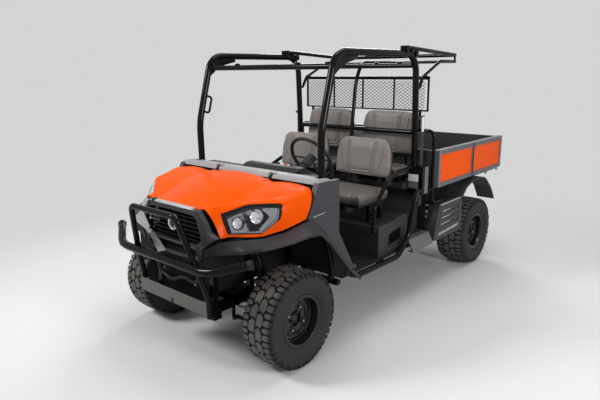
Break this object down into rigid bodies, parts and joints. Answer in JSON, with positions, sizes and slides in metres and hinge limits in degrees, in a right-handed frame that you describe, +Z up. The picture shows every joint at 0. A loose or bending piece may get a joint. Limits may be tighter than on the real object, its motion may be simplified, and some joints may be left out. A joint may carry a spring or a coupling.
{
  "type": "side by side utility vehicle",
  "caption": "Off-road utility vehicle with two seat rows, tubular roll cage, opening hood, steered front wheels and a tipping cargo bed with a drop tailgate.",
  "frame": {"origin": "on the ground under the middle of the vehicle's length and width", "axes": "+Z up, +X to the vehicle's left, +Y to its rear, so it faces -Y"},
  "size_m": [1.6, 3.598, 2.0123],
  "materials": {
    "tyre": "matte moulded rubber",
    "rim": "semi-gloss black paint",
    "frame_paint": "gloss black powder coat",
    "cast_parts": "dark cast metal",
    "bright_steel": "plated steel",
    "body_orange": "gloss orange paint",
    "moulded_grey": "grained dark grey moulding",
    "trim_grey": "grained mid grey moulding",
    "black_plastic": "black moulding",
    "seat_vinyl": "grey vinyl",
    "lamp": "clear lens",
    "plate_steel": "worn grey painted plate",
    "webbing": "woven belt",
    "bed_black": "black bed coating"
  },
  "bodies": {
    "chassis": {"rear_hub_carriers": "cast_parts", "steering_gear": "black_plastic", "suspension_arms": "frame_paint", "dampers": "frame_paint", "drive_line": "cast_parts", "engine_block": "cast_parts", "radiator": "black_plastic", "chassis_frame": "frame_paint", "brush_guard": "frame_paint", "front_plate": "plate_steel", "front_fascia": "moulded_grey", "grille": "black_plastic", "front_fenders": "moulded_grey", "cowl_sides": "moulded_grey", "cowl_strip": "trim_grey", "dashboard": "black_plastic", "floor_pan": "black_plastic", "sills": "trim_grey", "front_seat_base": "moulded_grey", "rear_seat_base": "moulded_grey", "front_cushions": "seat_vinyl", "front_backrests": "seat_vinyl", "rear_cushions": "seat_vinyl", "rear_backrests": "seat_vinyl", "seat_frames": "frame_paint", "cage_left": "frame_paint", "cage_right": "frame_paint", "cage_crossbars": "frame_paint", "roof_extension": "frame_paint", "lower_loops": "frame_paint", "grab_bars": "frame_paint", "cab_screen": "frame_paint", "seat_belts": "webbing", "side_boxes": "moulded_grey", "rear_fenders": "moulded_grey", "controls": "black_plastic"},
    "hood": {"hood": "body_orange", "headlamps": "lamp"},
    "bed": {"bed_tub": "bed_black", "bed_panels": "body_orange"},
    "tailgate": {"tailgate": "bed_black"},
    "lift_barrel": {"lift_barrel": "frame_paint"},
    "lift_rod": {"lift_rod": "bright_steel"},
    "knuckle_left": {"knuckle_left": "cast_parts"},
    "knuckle_right": {"knuckle_right": "cast_parts"},
    "tie_rod_left": {"tie_rod_left": "bright_steel"},
    "tie_rod_right": {"tie_rod_right": "bright_steel"},
    "rack": {"steering_rack": "bright_steel"},
    "steering_wheel": {"steering_wheel": "black_plastic"},
    "wheel_front_left": {"tyre_front_left": "tyre", "rim_front_left": "rim"},
    "wheel_front_right": {"tyre_front_right": "tyre", "rim_front_right": "rim"},
    "wheel_rear_left": {"tyre_rear_left": "tyre", "rim_rear_left": "rim"},
    "wheel_rear_right": {"tyre_rear_right": "tyre", "rim_rear_right": "rim"}
  },
  "joints": [
    {"name": "steer_left", "type": "hinge", "parent": "chassis", "child": "knuckle_left", "pos_m": [0.545, -1.244, 0.317], "axis": [0, 0, 1], "range_deg": [-28, 28]},
    {"name": "steer_right", "type": "hinge", "parent": "chassis", "child": "knuckle_right", "pos_m": [-0.545, -1.244, 0.317], "axis": [0, 0, 1], "range_deg": [-29, 29]},
    {"name": "rack_slide", "type": "slide", "parent": "chassis", "child": "rack", "axis": [1, 0, 0], "range_m": [-0.054, 0.054]},
    {"name": "tie_rod_left_turn", "type": "hinge", "parent": "knuckle_left", "child": "tie_rod_left", "pos_m": [0.545, -1.354, 0.324], "axis": [0, 0, 1], "range_deg": [-29, 29]},
    {"name": "tie_rod_right_turn", "type": "hinge", "parent": "knuckle_right", "child": "tie_rod_right", "pos_m": [-0.545, -1.354, 0.324], "axis": [0, 0, 1], "range_deg": [-29, 29]},
    {"name": "steering_wheel_turn", "type": "hinge", "parent": "chassis", "child": "steering_wheel", "pos_m": [0.285, -0.609, 1.22], "axis": [0, 0.866, 0.5], "range_deg": [-340, 340]},
    {"name": "wheel_front_left_spin", "type": "hinge", "parent": "knuckle_left", "child": "wheel_front_left", "pos_m": [0.636, -1.244, 0.317], "axis": [1, 0, 0], "continuous": true},
    {"name": "wheel_front_right_spin", "type": "hinge", "parent": "knuckle_right", "child": "wheel_front_right", "pos_m": [-0.636, -1.244, 0.317], "axis": [1, 0, 0], "continuous": true},
    {"name": "wheel_rear_left_spin", "type": "hinge", "parent": "chassis", "child": "wheel_rear_left", "pos_m": [0.622, 1.296, 0.317], "axis": [1, 0, 0], "continuous": true},
    {"name": "wheel_rear_right_spin", "type": "hinge", "parent": "chassis", "child": "wheel_rear_right", "pos_m": [-0.622, 1.296, 0.317], "axis": [1, 0, 0], "continuous": true},
    {"name": "hood_open", "type": "hinge", "parent": "chassis", "child": "hood", "pos_m": [0, -0.999, 1.14], "axis": [-1, 0, 0], "range_deg": [0, 60]},
    {"name": "bed_tip", "type": "hinge", "parent": "chassis", "child": "bed", "pos_m": [0, 1.656, 0.838], "axis": [-1, 0, 0], "range_deg": [0, 50]},
    {"name": "tailgate_open", "type": "hinge", "parent": "bed", "child": "tailgate", "pos_m": [0, 1.78, 0.908], "axis": [-1, 0, 0], "range_deg": [0, 90]},
    {"name": "lift_swing", "type": "hinge", "parent": "chassis", "child": "lift_barrel", "pos_m": [0.19, 1.206, 0.43], "axis": [1, 0, 0], "range_deg": [-1, 3.93]},
    {"name": "lift_slide", "type": "slide", "parent": "lift_barrel", "child": "lift_rod", "axis": [0, 0.5348, 0.845], "range_m": [-0.002, 0.16909]}
  ],
  "couplings": [
    {"joint": "steer_right", "follows": "steer_left", "ratio": 1},
    {"joint": "rack_slide", "follows": "steer_left", "m_per_rad": 0.10567},
    {"joint": "tie_rod_left_turn", "follows": "steer_left", "ratio": -1},
    {"joint": "tie_rod_right_turn", "follows": "steer_left", "ratio": -1},
    {"joint": "steering_wheel_turn", "follows": "steer_left", "ratio": 12},
    {"joint": "lift_swing", "follows": "bed_tip", "ratio": 0.058655},
    {"joint": "lift_slide", "follows": "bed_tip", "m_per_rad": 0.19148}
  ]
}
